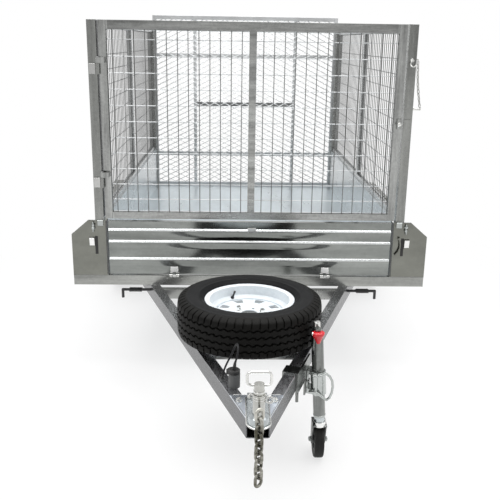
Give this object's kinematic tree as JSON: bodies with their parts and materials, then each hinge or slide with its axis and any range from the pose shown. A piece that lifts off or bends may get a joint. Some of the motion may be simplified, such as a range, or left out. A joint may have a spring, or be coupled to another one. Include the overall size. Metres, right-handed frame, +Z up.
{
  "type": "utility trailer",
  "caption": "Galvanised utility trailer with a mesh cage, fold-down front gate, folded mesh ramp at the rear, spare wheel on the drawbar and a jockey wheel.",
  "frame": {"origin": "on the ground, under the middle of the trailer's overall length and width", "axes": "+X to the right seen from the front, +Y rearwards, +Z up; the drawbar points to -Y"},
  "size_m": [1.86, 3.9487, 1.82],
  "materials": {
    "black_plastic": "black plastic",
    "black_rod": "black painted steel",
    "black_rubber": "solid black rubber",
    "cable_black": "black cable jacket",
    "chain": "dark plated chain steel",
    "galvanised": "hot-dip galvanised steel",
    "galvanised_sheet": "galvanised sheet steel",
    "grey_plastic": "grey plastic",
    "lamp_red": "red lamp lens",
    "plate_white": "blank plate",
    "red_plastic": "red plastic",
    "tyre": "black rubber",
    "white_wheel": "white painted steel",
    "zinc": "zinc plated steel"
  },
  "bodies": {
    "trailer": {"axle_beam": "galvanised", "cage_frame_left": "galvanised", "cage_frame_right": "galvanised", "cage_mesh_left": "galvanised", "cage_mesh_right": "galvanised", "chassis_crossmembers": "galvanised", "chassis_rails": "galvanised", "coupling_head": "zinc", "coupling_lock": "zinc", "coupling_plate": "galvanised", "coupling_ring": "zinc", "drawbar_left": "galvanised", "drawbar_right": "galvanised", "front_beam": "galvanised", "front_corner_plate_left": "galvanised_sheet", "front_corner_plate_right": "galvanised_sheet", "front_post_left": "galvanised", "front_post_right": "galvanised", "jockey_mount_plate": "galvanised", "leaf_springs": "galvanised", "mudguard_left": "galvanised_sheet", "mudguard_right": "galvanised_sheet", "number_plate": "plate_white", "plug_cable": "cable_black", "plug_holder": "grey_plastic", "rear_beam": "galvanised", "rear_posts": "galvanised", "rope_hooks": "black_rod", "safety_chain": "chain", "side_wall_left": "galvanised_sheet", "side_wall_right": "galvanised_sheet", "spare_carrier": "galvanised", "spare_rim": "white_wheel", "spare_tyre": "tyre", "spring_hangers": "galvanised", "tail_lights": "lamp_red", "trailer_plug": "black_plastic", "tray_floor": "galvanised_sheet"},
    "gate": {"gate_frame": "galvanised", "gate_mesh": "galvanised"},
    "drop_gate": {"drop_gate": "galvanised_sheet"},
    "ramp": {"ramp_frame": "galvanised", "ramp_mesh": "galvanised"},
    "wheel_left": {"tyre_left": "tyre", "wheel_rim_left": "white_wheel", "wheel_hub_left": "galvanised"},
    "wheel_right": {"tyre_right": "tyre", "wheel_rim_right": "white_wheel", "wheel_hub_right": "galvanised"},
    "jockey_stem": {"jockey_clamp": "galvanised", "jockey_outer_tube": "galvanised", "jockey_grip": "red_plastic"},
    "jockey_leg": {"jockey_inner_tube": "zinc"},
    "jockey_caster": {"jockey_fork": "galvanised"},
    "jockey_roller": {"jockey_wheel": "black_rubber"}
  },
  "joints": [
    {"name": "wheel_left_spin", "type": "hinge", "parent": "trailer", "child": "wheel_left", "pos_m": [-0.832, 0.878, 0.298], "axis": [1, 0, 0], "continuous": true},
    {"name": "wheel_right_spin", "type": "hinge", "parent": "trailer", "child": "wheel_right", "pos_m": [0.832, 0.878, 0.298], "axis": [1, 0, 0], "continuous": true},
    {"name": "mesh_gate_swing", "type": "hinge", "parent": "trailer", "child": "gate", "pos_m": [-0.716, -0.536, 1.236], "axis": [0, 0, -1], "range_deg": [0, 180]},
    {"name": "drop_gate_fold", "type": "hinge", "parent": "trailer", "child": "drop_gate", "pos_m": [0, -0.531, 0.503], "axis": [1, 0, 0], "range_deg": [0, 90]},
    {"name": "rear_ramp_fold", "type": "hinge", "parent": "trailer", "child": "ramp", "pos_m": [0, 1.964, 0.462], "axis": [-1, 0, 0], "range_deg": [0, 109.5]},
    {"name": "jockey_swing_up", "type": "hinge", "parent": "trailer", "child": "jockey_stem", "pos_m": [0.25638, -1.38302, 0.345], "axis": [0.946, -0.3241, 0], "range_deg": [0, 90]},
    {"name": "jockey_wind_down", "type": "slide", "parent": "jockey_stem", "child": "jockey_leg", "axis": [0.0627, -0.0215, -0.9978], "range_m": [-0.02, 0.2]},
    {"name": "jockey_caster_turn", "type": "hinge", "parent": "jockey_leg", "child": "jockey_caster", "pos_m": [0.268, -1.387, 0.16], "axis": [-0.0627, 0.0215, 0.9978], "continuous": true},
    {"name": "jockey_wheel_spin", "type": "hinge", "parent": "jockey_caster", "child": "jockey_roller", "pos_m": [0.268, -1.353, 0.075], "axis": [1, 0, 0], "continuous": true}
  ]
}
